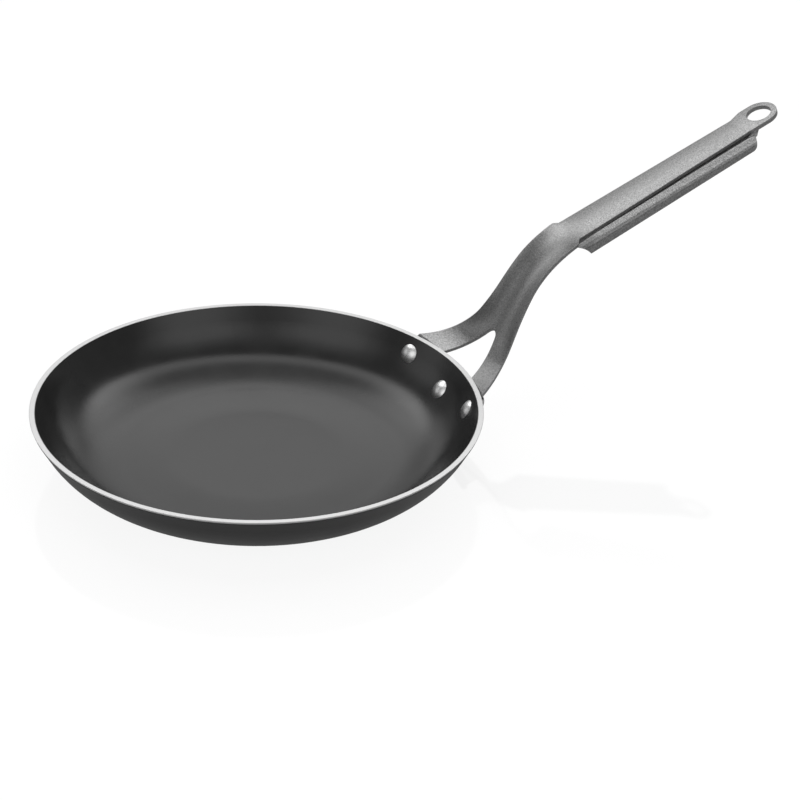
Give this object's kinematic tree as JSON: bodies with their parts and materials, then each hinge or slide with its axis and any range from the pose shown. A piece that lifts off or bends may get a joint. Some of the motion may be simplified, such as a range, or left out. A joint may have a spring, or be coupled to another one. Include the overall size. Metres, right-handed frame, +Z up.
{
  "type": "omelette pan",
  "caption": "Shallow round frying pan with sloping sides, a dark non-stick inside, a bare rim and a forked, S-shaped pressed metal handle with a hanging ring.",
  "frame": {"origin": "on the pan's own axis, at the turned base that it stands on", "axes": "+X towards the handle's ring, +Z up"},
  "size_m": [0.4345, 0.2412, 0.1601],
  "materials": {
    "bare_aluminium": "turned",
    "inside_coat": "satin non-stick coat",
    "outside_coat": "satin paint",
    "handle_paint": "fine textured grey paint",
    "rivet_metal": "satin"
  },
  "bodies": {
    "root": {"pan_body": "bare_aluminium", "interior_coating": "inside_coat", "exterior_coating": "outside_coat", "handle": "handle_paint", "rivet_left": "rivet_metal", "rivet_centre": "rivet_metal", "rivet_right": "rivet_metal"}
  },
  "joints": []
}
